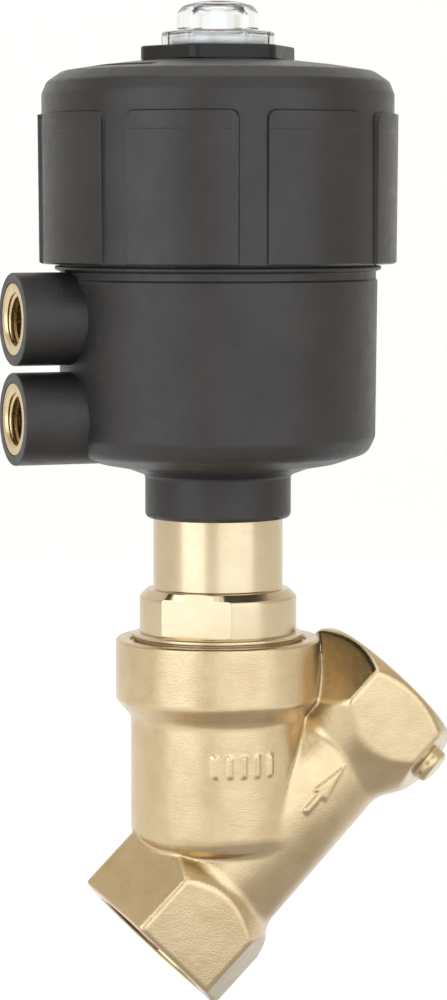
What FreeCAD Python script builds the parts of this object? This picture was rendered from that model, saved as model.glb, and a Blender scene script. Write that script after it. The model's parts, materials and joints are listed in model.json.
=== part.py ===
"""Angle seat valve, DN25, with a spring-closed pneumatic piston actuator. Millimetres.

+Z is the actuator's axis, pointing up, and the pipe's axis lies in the XZ plane at 45 degrees, with the
inlet at the lower left (-X) and the outlet at the upper right (+X). The origin is the centre of the inlet
mouth. Heights in this file are measured from the point where the two axes cross, and save() moves each
piece to the origin. Every piece is one solid in its own file, except the pair of plug pins.
"""

import FreeCAD
import Part
import math
import os

V = FreeCAD.Vector
CENTRE = V(0, 0, 0)
UP = V(0, 0, 1)

# Pipe: distances along it are measured from the inlet mouth. Between the hexagons its outside is fullest
# beside the seat, draws in by PIPE_DRAW_IN times the distance squared, and its lower side tapers a little.
PIPE_TILT = 45.0
PIPE_LENGTH = 90.0
PIPE_CROSSING = 25.0
PIPE_RADIUS = 19.3
PIPE_FULLEST = 38.0
PIPE_DRAW_IN = 0.0028
PIPE_LOWER_SIDE = 18.0
PIPE_LOWER_TAPER = 0.026
HEX_INNER_END = 24.0
HEX_ACROSS_FLATS = 41.0
HEX_CORNER_RADIUS = 2.2
G1_BORE_RADIUS = 15.15
G1_DEPTH = 17.0
FLOW_RADIUS = 12.5

# Casting
BARREL_RADIUS = 21.85
BARREL_FOOT = 6.4
FLANGE_RADIUS = 25.5
FLANGE_TOP = 59.0
CHAMBER_RADIUS = 17.5
SEAT_TOP = 15.5
SEAT_LAND_RADIUS = 15.0
BONNET_SEAT = 45.0

# Bonnet, stem and plug
BONNET_THREAD_RADIUS = 20.9
COLLAR_BASE = 60.5
COLLAR_TOP = 72.3
COLLAR_RADIUS = 19.55
COLLAR_ACROSS_FLATS = 34.7
COLLAR_FLAT_ANGLE = -34.5
TUBE_RADIUS = 16.1
TUBE_TOP = 94.0
SPIGOT_RADIUS = 13.0
SPIGOT_TOP = 112.0
GLAND_RADIUS = 9.5
GLAND_FLOOR = 51.0
STEM_RADIUS = 5.0
FIT = 0.05
THREAD_GAP = 0.1
BODY_GAP = 0.3

# Actuator
NECK_RADIUS = 18.1
NECK_BOTTOM = 88.6
NECK_TOP = 99.8
HOUSING_FLOOR = 106.0
HOUSING_RADIUS_LOW = 39.0
HOUSING_RADIUS_HIGH = 39.4
HOUSING_TOP = 168.0
SPIGOT_WALL_RADIUS = 38.6
CYLINDER_RADIUS = 35.6
PORT_HEIGHTS = {"upper_port_insert": 138.8, "lower_port_insert": 114.6}
PORT_TURN = 4.0
PORT_FACE = 53.2
PORT_BOSS_RADIUS = 11.3
PORT_INSERT_RADIUS = 8.85
PORT_INSERT_DEPTH = 12.0
PORT_BORE_RADIUS = 5.73
PORT_DRILLING_RADIUS = 2.5
COVER_BOTTOM = 152.0
COVER_RADIUS = 43.4
COVER_CEILING = 197.0
PANEL_COUNT = 8
PANEL_TOP = 188.7
PANEL_GAP = 6.5
PANEL_GAP_ANGLE = -6.0
BUSHING_ACROSS_FLATS = 34.5
BUSHING_TURN = -4.5
BUSHING_BASE = 201.8
BUSHING_TOP = 205.1
BUSHING_SHANK_RADIUS = 13.0
BUSHING_FOOT = 189.0
CAP_SPIGOT_RADIUS = 9.8
CAP_SPIGOT_LENGTH = 7.5
CAP_DOME_RADIUS = 10.2
CAP_HOLLOW_RADIUS = 6.2
CAP_ACROSS_FLATS = 14.6
CAP_FLAT_ANGLE = -15.0

# Moving parts, in the closed position
PISTON_BOTTOM = 117.0
PISTON_DECK = 121.0
PISTON_RIM_TOP = 127.0
PISTON_RADIUS = 35.2
SPRING_SEAT_BOTTOM = 195.2
SPRING_MEAN_RADIUS = 24.0
SPRING_WIRE_RADIUS = 2.5
ROD_RADIUS = 4.0
ROD_TOP = 204.5
PLUG_DISC_BOTTOM = 18.0
PLUG_TOP = 31.0


def corner(points, i):
    """The start, middle and end of the arc at one corner of an outline, or its bare point three times."""
    here, before, after = points[i], points[i - 1], points[(i + 1) % len(points)]
    at = V(here[0], 0, here[1])
    radius = here[2] if len(here) > 2 else 0
    if not radius:
        return at, at, at
    back = (V(before[0], 0, before[1]) - at).normalize()
    ahead = (V(after[0], 0, after[1]) - at).normalize()
    half = back.getAngle(ahead) / 2
    reach = radius / math.tan(half)
    inward = (back + ahead).normalize()
    middle = at + inward * (radius / math.sin(half) - radius)
    return at + back * reach, middle, at + ahead * reach


def outline(points):
    """Closed face in the XZ plane through (x, z) or (x, z, corner radius) points."""
    arcs = [corner(points, i) for i in range(len(points))]
    edges = []
    for i, (start, middle, end) in enumerate(arcs):
        if (end - start).Length > 1e-6:
            edges.append(Part.Arc(start, middle, end).toShape())
        following = arcs[(i + 1) % len(arcs)][0]
        if (following - end).Length > 1e-6:
            edges.append(Part.LineSegment(end, following).toShape())
    return Part.Face(Part.Wire(edges))


def turned(points):
    """Solid of revolution about Z from a half outline of (radius, height) or (radius, height, round)."""
    return outline(points).revolve(CENTRE, UP, 360)


def ring(inner, outer, bottom, top, edge=0.0):
    """Plain turned ring with its four edges rounded."""
    points = [(inner, bottom, edge), (outer, bottom, edge), (outer, top, edge), (inner, top, edge)]
    return turned(points)


def rod(radius, bottom, top):
    return Part.makeCylinder(radius, top - bottom, V(0, 0, bottom))


def torus(mean_radius, wire_radius, height):
    return Part.makeTorus(mean_radius, wire_radius, V(0, 0, height))


def hexagon(across_flats, bottom, top, corner_radius):
    """Hexagonal prism along Z with two flats facing +Y and -Y."""
    reach = across_flats / 2 / math.cos(math.radians(30))
    angles = [math.radians(60 * k) for k in range(6)]
    face = outline([(reach * math.cos(a), reach * math.sin(a), corner_radius) for a in angles])
    face.rotate(CENTRE, V(1, 0, 0), 90)
    face.translate(V(0, 0, bottom))
    return face.extrude(V(0, 0, top - bottom))


def nut(across_flats, bore_radius, bottom, top):
    """Hexagon nut with both faces chamfered to its corners."""
    reach = across_flats / 2 / math.cos(math.radians(30))
    drop = (reach - across_flats / 2) * 0.6
    dome = turned([
        (bore_radius, bottom), (across_flats / 2, bottom), (reach, bottom + drop),
        (reach, top - drop), (across_flats / 2, top), (bore_radius, top),
    ])
    return hexagon(across_flats, bottom, top, 0).common(dome)


def coil(mean_radius, wire_radius, bottom, top, turns):
    """Compression spring: one helix of round wire, standing between two flat-ground ends."""
    low = bottom + wire_radius
    height = top - bottom - 2 * wire_radius
    helix = Part.makeHelix(height / turns, height, mean_radius)
    circle = Part.Circle(V(mean_radius, 0, 0), V(0, 1, 0), wire_radius).toShape()
    wire = Part.Wire(helix).makePipeShell([Part.Wire(circle)], True, True)
    wire.translate(V(0, 0, low))
    return wire


def along_pipe(shape):
    """Moves a shape made about Z from the inlet mouth up onto the tilted pipe."""
    shape.rotate(CENTRE, V(0, 1, 0), PIPE_TILT)
    slope = math.radians(PIPE_TILT)
    shape.translate(V(-PIPE_CROSSING * math.sin(slope), 0, -PIPE_CROSSING * math.cos(slope)))
    return shape


def facing_left(shape, height):
    """Turns a shape made about Z, its mouth at the top, so that it opens to the left at a height."""
    shape.rotate(CENTRE, V(0, 1, 0), -90)
    shape.rotate(CENTRE, UP, PORT_TURN)
    shape.translate(V(0, 0, height))
    return shape


def pipe_outside(proud=0.0):
    """Round outside of the pipe between its hexagons, or a shape that stands proud of it."""
    rings = []
    for along in (18, 28, 38, 48, 60, 74):
        radius = PIPE_RADIUS - PIPE_DRAW_IN * (along - PIPE_FULLEST) ** 2
        lower_side = PIPE_LOWER_SIDE - PIPE_LOWER_TAPER * (along - HEX_INNER_END)
        rings.append(Part.Wire(Part.Circle(V(lower_side - radius, 0, along), UP, radius + proud).toShape()))
    return Part.makeLoft(rings, True)


def flow_arrow():
    """Raised arrow on the front of the pipe, pointing to the outlet."""
    tail, tip, side = 48.9, 64.1, -0.3
    head, head_half, tail_half, relief = 9.6, 2.2, 0.8, 0.5
    face = outline([
        (side - tail_half, tail), (side + tail_half, tail), (side + tail_half, tip - head),
        (side + head_half, tip - head), (side, tip), (side - head_half, tip - head),
        (side - tail_half, tip - head),
    ])
    plate = face.extrude(V(0, -PIPE_RADIUS - 2, 0))
    return plate.common(pipe_outside(relief))


def tally_marks():
    """Row of plain raised bars on the front of the barrel, a blank foundry tally."""
    count, pitch, width, height, middle, relief = 5, 3.6, 1.2, 5.2, 29.6, 0.4
    shell = rod(BARREL_RADIUS + relief, middle - height, middle + height)
    marks = []
    for k in range(count):
        left = (k - (count - 1) / 2) * pitch - width / 2
        bar = Part.makeBox(width, BARREL_RADIUS + 2, height, V(left, -BARREL_RADIUS - 2, middle - height / 2))
        marks.append(bar.common(shell))
    return marks


def casting_pad():
    """Round test pad on the lower flat of the outlet hexagon."""
    at, radius, proud, start = 80.5, 4.65, 3.0, 15.0
    pad = turned([(0, start), (radius, start), (radius, HEX_ACROSS_FLATS / 2 + proud, 1.0),
                  (0, HEX_ACROSS_FLATS / 2 + proud)])
    pad.rotate(CENTRE, V(1, 0, 0), 90)
    pad.rotate(CENTRE, UP, 60)
    pad.translate(V(0, 0, at))
    return pad


def end_hexagon(start, end, limits):
    """Hexagonal pipe end, trimmed by a turned outline that chamfers its corners."""
    prism = hexagon(HEX_ACROSS_FLATS, start, end, HEX_CORNER_RADIUS)
    return prism.common(turned(limits))


def valve_casting():
    flat, corner_reach = HEX_ACROSS_FLATS / 2, 23.4
    barrel = turned([
        (0, BARREL_FOOT), (BARREL_RADIUS, BARREL_FOOT, 5), (BARREL_RADIUS, 39.6, 3),
        (FLANGE_RADIUS, 43.9, 1.5), (FLANGE_RADIUS, FLANGE_TOP, 0.7), (0, FLANGE_TOP),
    ])
    pipe = pipe_outside()
    inlet = end_hexagon(0, HEX_INNER_END, [
        (0, 0), (corner_reach - 0.6, 0), (corner_reach + 0.6, 1.2), (corner_reach + 0.6, 15.6),
        (flat, 20.4, 1), (PIPE_LOWER_SIDE, 23.6), (0, 23.6),
    ])
    outlet = end_hexagon(66, PIPE_LENGTH, [
        (0, 67.8), (PIPE_LOWER_SIDE, 67.8), (flat, 71, 1), (corner_reach + 0.6, 75.6),
        (corner_reach + 0.6, 87.6), (flat, PIPE_LENGTH), (0, PIPE_LENGTH),
    ])
    run = pipe.fuse([inlet, outlet, casting_pad(), flow_arrow()])
    body = barrel.fuse([along_pipe(run)] + tally_marks())
    inlet_bore = turned([
        (0, -1), (G1_BORE_RADIUS, -1), (G1_BORE_RADIUS, G1_DEPTH), (FLOW_RADIUS, G1_DEPTH + 2),
        (FLOW_RADIUS, PIPE_CROSSING), (0, PIPE_CROSSING),
    ])
    outlet_start = PIPE_CROSSING + 22.5
    outlet_bore = turned([
        (0, outlet_start), (FLOW_RADIUS, outlet_start), (FLOW_RADIUS, PIPE_LENGTH - G1_DEPTH - 2),
        (G1_BORE_RADIUS, PIPE_LENGTH - G1_DEPTH), (G1_BORE_RADIUS, PIPE_LENGTH + 1), (0, PIPE_LENGTH + 1),
    ])
    groove = SEAT_TOP - 2.5
    chamber = turned([
        (0, 0), (FLOW_RADIUS, 0), (FLOW_RADIUS, SEAT_TOP), (SEAT_LAND_RADIUS, SEAT_TOP),
        (SEAT_LAND_RADIUS, groove), (CHAMBER_RADIUS, groove), (CHAMBER_RADIUS, BONNET_SEAT),
        (BONNET_THREAD_RADIUS + THREAD_GAP, BONNET_SEAT), (BONNET_THREAD_RADIUS + THREAD_GAP, 58),
        (22, 58), (22, FLANGE_TOP + 1), (0, FLANGE_TOP + 1),
    ])
    elbow = Part.makeSphere(FLOW_RADIUS)
    return body.cut([along_pipe(inlet_bore), along_pipe(outlet_bore), chamber, elbow])


def collar_flats(shape):
    """Mills the two parallel wrench flats into the bonnet's collar."""
    for side in (0, 180):
        block = Part.makeBox(60, 10, COLLAR_TOP - COLLAR_BASE + 1,
                             V(-30, -COLLAR_ACROSS_FLATS / 2 - 10, COLLAR_BASE + 0.4))
        block.rotate(CENTRE, UP, COLLAR_FLAT_ANGLE + side)
        shape = shape.cut(block)
    return shape


def bonnet():
    body = turned([
        (STEM_RADIUS + FIT, 46), (BONNET_THREAD_RADIUS, 46, 0.8), (BONNET_THREAD_RADIUS, 59.6),
        (21.2, 59.6, 0.3), (21.2, COLLAR_BASE, 0.3), (COLLAR_RADIUS, COLLAR_BASE),
        (COLLAR_RADIUS, COLLAR_TOP - 1.8, 0.9), (COLLAR_RADIUS - 2.2, COLLAR_TOP - 0.2, 0.3),
        (TUBE_RADIUS, COLLAR_TOP), (TUBE_RADIUS, TUBE_TOP, 0.6),
        (SPIGOT_RADIUS, TUBE_TOP), (SPIGOT_RADIUS, 97.5), (11.2, 97.5), (11.2, 99.9),
        (SPIGOT_RADIUS, 99.9), (SPIGOT_RADIUS, SPIGOT_TOP, 0.8), (GLAND_RADIUS, SPIGOT_TOP),
        (GLAND_RADIUS, 109.6), (10.4, 109.6), (10.4, 108.3), (GLAND_RADIUS, 108.3),
        (GLAND_RADIUS, GLAND_FLOOR), (STEM_RADIUS + FIT, GLAND_FLOOR), (STEM_RADIUS + FIT, 49.6),
        (7.5, 49.6), (7.5, 47.4), (STEM_RADIUS + FIT, 47.4),
    ])
    return collar_flats(body)


def packing():
    """The stack that seals the stem inside the bonnet, from the floor up."""
    inner, outer = STEM_RADIUS + FIT, GLAND_RADIUS - FIT
    middle = (inner + outer) / 2
    rise, body_height, pitch, first = 2.0, 2.4, 2.6, 53.5
    pieces = {}
    base = GLAND_FLOOR
    pieces["packing_support_ring"] = turned([
        (inner, base), (outer, base), (outer, base + 2.4), (middle, base + 4.4), (inner, base + 2.4),
    ])
    for k in range(3):
        z = first + k * pitch
        pieces[f"packing_ring_{k + 1}"] = turned([
            (inner, z), (middle, z + rise), (outer, z), (outer, z + body_height),
            (middle, z + body_height + rise), (inner, z + body_height),
        ])
    z = first + 3 * pitch
    pieces["packing_follower"] = turned([(inner, z), (middle, z + rise), (outer, z), (outer, 66), (inner, 66)])
    pieces["packing_spring"] = coil(7.35, 0.8, 66, 78, 4)
    gland = turned([
        (STEM_RADIUS + BODY_GAP, 78), (outer, 78, 0.5), (outer, 85, 0.5), (STEM_RADIUS + BODY_GAP, 85),
    ])
    slot = Part.makeBox(30, 2.5, 3, V(-15, -1.25, 82.5))
    pieces["gland_nut"] = gland.cut(slot)
    pieces["stem_guide_bush"] = turned([
        (inner, 92), (outer, 92, 0.5), (outer, 108.2), (inner, 108.2), (inner, 106), (7.0, 106),
        (7.0, 103.6), (inner, 103.6),
    ])
    pieces["rod_o_ring"] = torus(6.05, 0.95, 104.8)
    circlip = ring(7.6, 10.3, 108.4, 109.5)
    pieces["bush_circlip"] = circlip.cut(Part.makeBox(20, 4, 4, V(0, -2, 107)))
    pieces["stem_wiper"] = ring(inner, 7.4, 47.5, 49.5)
    return pieces


def neck_notches(shape):
    """Six shallow lens-shaped notches round the lower edge of the neck."""
    half_width, depth = 5.0, 1.1
    radius = (half_width ** 2 + depth ** 2) / (2 * depth)
    for k in range(6):
        cutter = Part.makeCylinder(radius, 12, V(0, 0, 0), V(1, 0, 0))
        cutter.translate(V(NECK_RADIUS - 1.0, 0, NECK_BOTTOM + depth - radius))
        cutter.rotate(CENTRE, UP, 60 * k)
        shape = shape.cut(cutter)
    return shape


def actuator_housing():
    shell = turned([
        (TUBE_RADIUS + THREAD_GAP, NECK_BOTTOM), (NECK_RADIUS, NECK_BOTTOM, 1.2), (NECK_RADIUS, NECK_TOP, 1.2),
        (23, 101.6, 3), (30, 102.9, 6), (37.2, 105.4, 4), (HOUSING_RADIUS_LOW, 109.3, 3),
        (HOUSING_RADIUS_HIGH, 147.9, 0.3), (39.0, 148.4, 0.3), (39.0, 150.1, 0.3), (40.3, 150.6, 0.3),
        (40.3, 151.5, 0.3),
        (SPIGOT_WALL_RADIUS, 151.5), (SPIGOT_WALL_RADIUS, 161.6), (36.9, 161.6), (36.9, 164.4),
        (SPIGOT_WALL_RADIUS, 164.4), (SPIGOT_WALL_RADIUS, HOUSING_TOP, 0.6),
        (CYLINDER_RADIUS, HOUSING_TOP, 0.6), (CYLINDER_RADIUS, HOUSING_FLOOR, 2),
        (SPIGOT_RADIUS + THREAD_GAP, HOUSING_FLOOR), (SPIGOT_RADIUS + THREAD_GAP, TUBE_TOP + BODY_GAP),
        (TUBE_RADIUS + THREAD_GAP, TUBE_TOP + BODY_GAP),
    ])
    shell = neck_notches(shell)
    bosses = []
    bores = []
    for height in PORT_HEIGHTS.values():
        boss = turned([(0, CYLINDER_RADIUS + 1.2), (PORT_BOSS_RADIUS, CYLINDER_RADIUS + 1.2),
                       (PORT_BOSS_RADIUS, PORT_FACE, 0.4), (0, PORT_FACE)])
        bosses.append(facing_left(boss, height))
        floor = PORT_FACE - PORT_INSERT_DEPTH
        bore = turned([(0, CYLINDER_RADIUS - 6), (PORT_DRILLING_RADIUS, CYLINDER_RADIUS - 6),
                       (PORT_DRILLING_RADIUS, floor - 1), (PORT_BORE_RADIUS, floor),
                       (PORT_INSERT_RADIUS, floor), (PORT_INSERT_RADIUS, PORT_FACE + 1), (0, PORT_FACE + 1)])
        bores.append(facing_left(bore, height))
    return shell.fuse(bosses).cut(bores)


def port_insert(height):
    """Brass insert of a pilot port: knurled outside, tapped inside, countersunk at its mouth."""
    floor = PORT_FACE - PORT_INSERT_DEPTH
    body = turned([
        (PORT_BORE_RADIUS, floor), (PORT_INSERT_RADIUS, floor, 0.4), (PORT_INSERT_RADIUS, PORT_FACE - 0.1, 0.3),
        (PORT_BORE_RADIUS + 1.3, PORT_FACE - 0.1), (PORT_BORE_RADIUS, PORT_FACE - 1.4),
    ])
    return facing_left(body, height)


def grip_panels():
    """Eight raised panels round the cover, parted by straight gaps."""
    band = turned([
        (COVER_RADIUS - 0.8, COVER_BOTTOM), (COVER_RADIUS + 0.7, COVER_BOTTOM, 0.3),
        (COVER_RADIUS + 1.0, PANEL_TOP, 0.5), (COVER_RADIUS - 0.8, PANEL_TOP),
    ])
    gaps = []
    for k in range(PANEL_COUNT):
        gap = Part.makeBox(PANEL_GAP, 10, 60, V(-PANEL_GAP / 2, -COVER_RADIUS - 5, COVER_BOTTOM - 10))
        gap.rotate(CENTRE, UP, PANEL_GAP_ANGLE + 45 * k)
        gaps.append(gap)
    return band.cut(gaps)


def actuator_cover():
    inner = SPIGOT_WALL_RADIUS + THREAD_GAP
    shell = turned([
        (inner, COVER_BOTTOM), (COVER_RADIUS, COVER_BOTTOM, 0.4), (COVER_RADIUS, 193.4, 2.5), (42.2, 196.4, 2),
        (38.4, 199, 3), (29.5, 200.4, 8), (18, BUSHING_BASE - 0.1, 1),
        (BUSHING_SHANK_RADIUS + THREAD_GAP, BUSHING_BASE - 0.1), (BUSHING_SHANK_RADIUS + THREAD_GAP, 191),
        (17, 191, 1), (17, COVER_CEILING), (34.5, COVER_CEILING - 1, 4), (36, 190, 1), (36, 169.5),
        (inner, 168.5),
    ])
    mark = turned([(31, 199.6), (34.6, 199.0), (34.6, 201), (31, 201)])
    window = Part.makeBox(30, 26, 10, V(-50, -24, 195))
    return shell.fuse(grip_panels()).cut(mark.common(window))


def indicator_bushing():
    """Hexagon-headed bushing in the cover's crown, which guides the indicator and holds its cap."""
    head = hexagon(BUSHING_ACROSS_FLATS, BUSHING_BASE, BUSHING_TOP, 4.5)
    head.rotate(CENTRE, UP, BUSHING_TURN)
    shank = rod(BUSHING_SHANK_RADIUS, BUSHING_FOOT, BUSHING_BASE + 1)
    socket_floor = BUSHING_TOP - CAP_SPIGOT_LENGTH - BODY_GAP
    bore = turned([
        (0, BUSHING_FOOT - 1), (ROD_RADIUS + 0.1, BUSHING_FOOT - 1), (ROD_RADIUS + 0.1, 193),
        (6.1, 193), (6.1, 195.4), (ROD_RADIUS + 0.1, 195.4), (ROD_RADIUS + 0.1, socket_floor),
        (CAP_SPIGOT_RADIUS + THREAD_GAP, socket_floor), (CAP_SPIGOT_RADIUS + THREAD_GAP, BUSHING_TOP + 1),
        (0, BUSHING_TOP + 1),
    ])
    return head.fuse(shank).cut(bore)


def indicator_cap():
    """Clear cap: threaded spigot, sealing flange and a hollow dome with two wrench flats."""
    flange, neck, dome, hollow = 13.9, 9.0, CAP_DOME_RADIUS, CAP_HOLLOW_RADIUS
    seal_inner, seal_outer, seal_top = 10.1, 12.3, BUSHING_TOP + 2.2
    base = BUSHING_TOP + FIT
    bottom = BUSHING_TOP - CAP_SPIGOT_LENGTH
    dome_base, dome_top = 209.5, 216.2
    cap = turned([
        (hollow, bottom), (CAP_SPIGOT_RADIUS, bottom), (CAP_SPIGOT_RADIUS, base), (seal_inner, base),
        (seal_inner, seal_top), (seal_outer, seal_top), (seal_outer, base), (flange, base), (flange, 208.6),
        (neck, dome_base - 0.6), (dome, dome_base), (dome, dome_top - 3.2), (dome - 1.4, dome_top - 1.2),
        (dome - 4.8, dome_top - 0.2), (0, dome_top), (0, dome_top - 1.5), (hollow, dome_top - 1.5),
    ])
    for side in (0, 180):
        block = Part.makeBox(60, 10, 10, V(-30, -CAP_ACROSS_FLATS / 2 - 10, dome_base - 0.5))
        block.rotate(CENTRE, UP, CAP_FLAT_ANGLE + side)
        cap = cap.cut(block)
    return cap


def stem():
    groove_bottom, groove_top, foot = 26.0, 28.4, 22.3
    return turned([
        (0, foot), (STEM_RADIUS, foot, 0.6), (STEM_RADIUS, groove_bottom), (3.7, groove_bottom),
        (3.7, groove_top), (STEM_RADIUS, groove_top), (STEM_RADIUS, PISTON_BOTTOM),
        (4, PISTON_BOTTOM), (4, 140, 0.6), (0, 140),
    ])


def piston_set():
    """Piston with its seals and fastening, and the indicator rod on the stem's end."""
    bore = 4 + FIT
    seal_groove = 31.0
    pieces = {}
    pieces["piston"] = turned([
        (bore, PISTON_BOTTOM), (28, PISTON_BOTTOM), (PISTON_RADIUS, PISTON_BOTTOM, 0.5), (PISTON_RADIUS, 118),
        (seal_groove, 118), (seal_groove, 122), (PISTON_RADIUS, 122), (PISTON_RADIUS, 123.4), (33.2, 123.4),
        (33.2, 126), (PISTON_RADIUS, 126), (PISTON_RADIUS, PISTON_RIM_TOP), (29, PISTON_RIM_TOP, 1),
        (28, PISTON_DECK, 1), (11, PISTON_DECK, 1), (10, 125), (bore, 125), (bore, 120), (5.9, 120), (5.9, 118),
        (bore, 118),
    ])
    pieces["stem_o_ring"] = torus(4.95, 0.85, 119)
    pieces["piston_lip_seal"] = turned([
        (seal_groove + FIT, 118.1), (32.6, 118.1), (33.2, 119.9, 0.5), (34.4, 118.1), (CYLINDER_RADIUS - 0.1, 118.1),
        (CYLINDER_RADIUS - 0.1, 119.4), (34.9, 121.9), (seal_groove + FIT, 121.9),
    ])
    pieces["piston_guide_ring"] = ring(33.25, CYLINDER_RADIUS - FIT, 123.5, 125.9)
    pieces["piston_washer"] = ring(bore, 9.5, 125, 126.6, 0.2)
    pieces["piston_nut"] = nut(13, bore, 126.6, 133)
    sleeve_top = 146.0
    pieces["indicator_rod"] = turned([
        (bore, 133.1), (6.5, 133.1, 0.3), (6.5, sleeve_top - 2.5), (ROD_RADIUS, sleeve_top),
        (ROD_RADIUS, ROD_TOP, 1.2), (0, ROD_TOP), (0, 140.2), (bore, 140.2),
    ])
    return pieces


def plug_set():
    """Swivelling plug on the stem's foot, with its PTFE seat seal clamped under it."""
    socket = STEM_RADIUS + FIT
    pieces = {}
    body = turned([
        (0, 7.6), (4, 7.6, 0.5), (4, PLUG_DISC_BOTTOM - 2.5), (5.9, PLUG_DISC_BOTTOM - 2.5),
        (5.9, PLUG_DISC_BOTTOM), (14.5, PLUG_DISC_BOTTOM), (14.5, 20.6, 0.6), (9, 22.2, 1),
        (9, PLUG_TOP, 0.8), (socket, PLUG_TOP), (socket, 22), (0, 22),
    ])
    pins = []
    for side in (-1, 1):
        pins.append(Part.makeCylinder(1.0, 13.6, V(side * 5.0, -6.8, 27.2), V(0, 1, 0)))
    pieces["plug"] = body.cut(pins)
    pieces["plug_pins"] = Part.makeCompound(pins)
    pieces["seat_seal"] = ring(5.95, 14.5, SEAT_TOP, PLUG_DISC_BOTTOM, 0.2)
    pieces["seal_clamp_washer"] = turned([
        (4 + FIT, 13.4), (10.9, 13.4, 0.6), (11.6, SEAT_TOP), (4 + FIT, SEAT_TOP),
    ])
    pieces["plug_nut"] = nut(13, 4 + FIT, 8.6, 13.4)
    return pieces


def actuator_set():
    """Springs, seals and washers that stay with the actuator."""
    pieces = {}
    pieces["cover_o_ring"] = torus(37.75, 0.85, 163)
    pieces["spring_seat_washer"] = ring(19, 28.5, SPRING_SEAT_BOTTOM, 196.2, 0.2)
    pieces["indicator_rod_o_ring"] = torus(5.1, 0.9, 194.2)
    pieces["main_spring"] = coil(SPRING_MEAN_RADIUS, SPRING_WIRE_RADIUS, PISTON_DECK, SPRING_SEAT_BOTTOM, 5.5)
    return pieces


def every_piece():
    pieces = {
        "valve_casting": valve_casting(),
        "bonnet_gasket": ring(18, 20.8, BONNET_SEAT, 46),
        "bonnet": bonnet(),
        "bonnet_o_ring": torus(12.1, 0.85, 98.7),
        "bonnet_retaining_nut": nut(34, SPIGOT_RADIUS + FIT, HOUSING_FLOOR + BODY_GAP, 111.3),
        "actuator_housing": actuator_housing(),
        "actuator_cover": actuator_cover(),
        "indicator_bushing": indicator_bushing(),
        "indicator_cap": indicator_cap(),
        "indicator_cap_o_ring": torus(11.2, 0.8, BUSHING_TOP + 1.15),
        "stem": stem(),
    }
    for name, height in PORT_HEIGHTS.items():
        pieces[name] = port_insert(height)
    for group in (packing(), piston_set(), plug_set(), actuator_set()):
        pieces.update(group)
    return pieces


def save(name, shape):
    """Writes one piece, moved so that the origin is the centre of the inlet mouth."""
    slope = math.radians(PIPE_TILT)
    shape.translate(V(PIPE_CROSSING * math.sin(slope), 0, PIPE_CROSSING * math.cos(slope)))
    solids = len(shape.Solids)
    print(f"{name}: {solids} solid(s), valid {shape.isValid()}, volume {shape.Volume:.1f}")
    shape.exportStep(f"parts/{name}.step")


os.makedirs("parts", exist_ok=True)
for piece_name, piece in every_piece().items():
    save(piece_name, piece)
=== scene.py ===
"""Looks of the angle seat valve: brass body, turned bonnet, black actuator and clear indicator cap."""

import json
import math

import bmesh
import bpy
import numpy as np
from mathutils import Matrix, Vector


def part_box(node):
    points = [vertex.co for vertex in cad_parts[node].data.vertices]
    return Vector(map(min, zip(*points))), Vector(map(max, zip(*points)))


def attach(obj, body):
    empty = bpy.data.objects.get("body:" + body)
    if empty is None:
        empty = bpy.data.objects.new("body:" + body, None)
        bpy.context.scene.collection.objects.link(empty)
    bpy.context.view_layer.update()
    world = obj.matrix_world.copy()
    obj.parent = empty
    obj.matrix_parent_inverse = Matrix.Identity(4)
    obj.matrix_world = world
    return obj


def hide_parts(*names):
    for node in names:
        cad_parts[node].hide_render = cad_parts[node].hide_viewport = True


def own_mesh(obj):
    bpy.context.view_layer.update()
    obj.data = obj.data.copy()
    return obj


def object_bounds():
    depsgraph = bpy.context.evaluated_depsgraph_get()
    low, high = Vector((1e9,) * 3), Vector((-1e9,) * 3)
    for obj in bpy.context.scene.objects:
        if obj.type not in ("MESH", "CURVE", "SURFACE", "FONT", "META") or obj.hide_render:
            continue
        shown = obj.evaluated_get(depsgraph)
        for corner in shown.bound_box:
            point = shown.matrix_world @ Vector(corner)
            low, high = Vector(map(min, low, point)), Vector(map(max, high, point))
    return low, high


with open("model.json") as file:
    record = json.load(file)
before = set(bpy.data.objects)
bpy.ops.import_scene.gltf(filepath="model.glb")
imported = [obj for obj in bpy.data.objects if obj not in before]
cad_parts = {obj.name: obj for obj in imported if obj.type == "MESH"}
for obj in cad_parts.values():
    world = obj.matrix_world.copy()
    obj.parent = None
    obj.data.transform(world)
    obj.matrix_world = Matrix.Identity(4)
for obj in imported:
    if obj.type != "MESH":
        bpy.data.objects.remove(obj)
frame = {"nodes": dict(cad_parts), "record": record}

import openvdb
from mathutils import Vector

CAD_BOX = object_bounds()

# Shapes are written in millimetres about the crossing of the pipe's axis and the actuator's axis.
MM = 0.001
BONNET_LOW, BONNET_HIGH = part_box("bonnet")
AXIS_X = (BONNET_LOW.x + BONNET_HIGH.x) / 2
CROSSING = np.array([AXIS_X, 0.0, AXIS_X])
TILT = math.radians(45)
PORT_TURN = math.radians(4)
PIPE_LENGTH = 90.0
PIPE_CROSSING = AXIS_X / math.sin(TILT) / MM


def height(node, end):
    """Height of a CAD node's bottom (0) or top (1) above the crossing, in millimetres."""
    return (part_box(node)[end].z - CROSSING[2]) / MM


# ---------------------------------------------------------------- camera

def make_camera():
    """A long lens, a little above the valve and left of its front."""
    data = bpy.data.cameras.new("camera")
    data.lens = 118.44
    data.sensor_width = 36.0
    data.clip_end = 100.0
    camera = bpy.data.objects.new("camera", data)
    bpy.context.scene.collection.objects.link(camera)
    azimuth, distance, rise = math.radians(-17.0), 0.815, 0.1656
    offset = Vector((math.sin(azimuth) * distance, -math.cos(azimuth) * distance, rise))
    camera.location = Vector(CROSSING) + offset
    pitch, turn = math.radians(90 - 5.07), azimuth - math.radians(0.096)
    camera.rotation_euler = (pitch, 0, turn)
    bpy.context.scene.camera = camera


make_camera()


# ---------------------------------------------------------------- mesh helpers

def to_metres(points):
    return np.asarray(points, float) * MM + CROSSING


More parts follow.
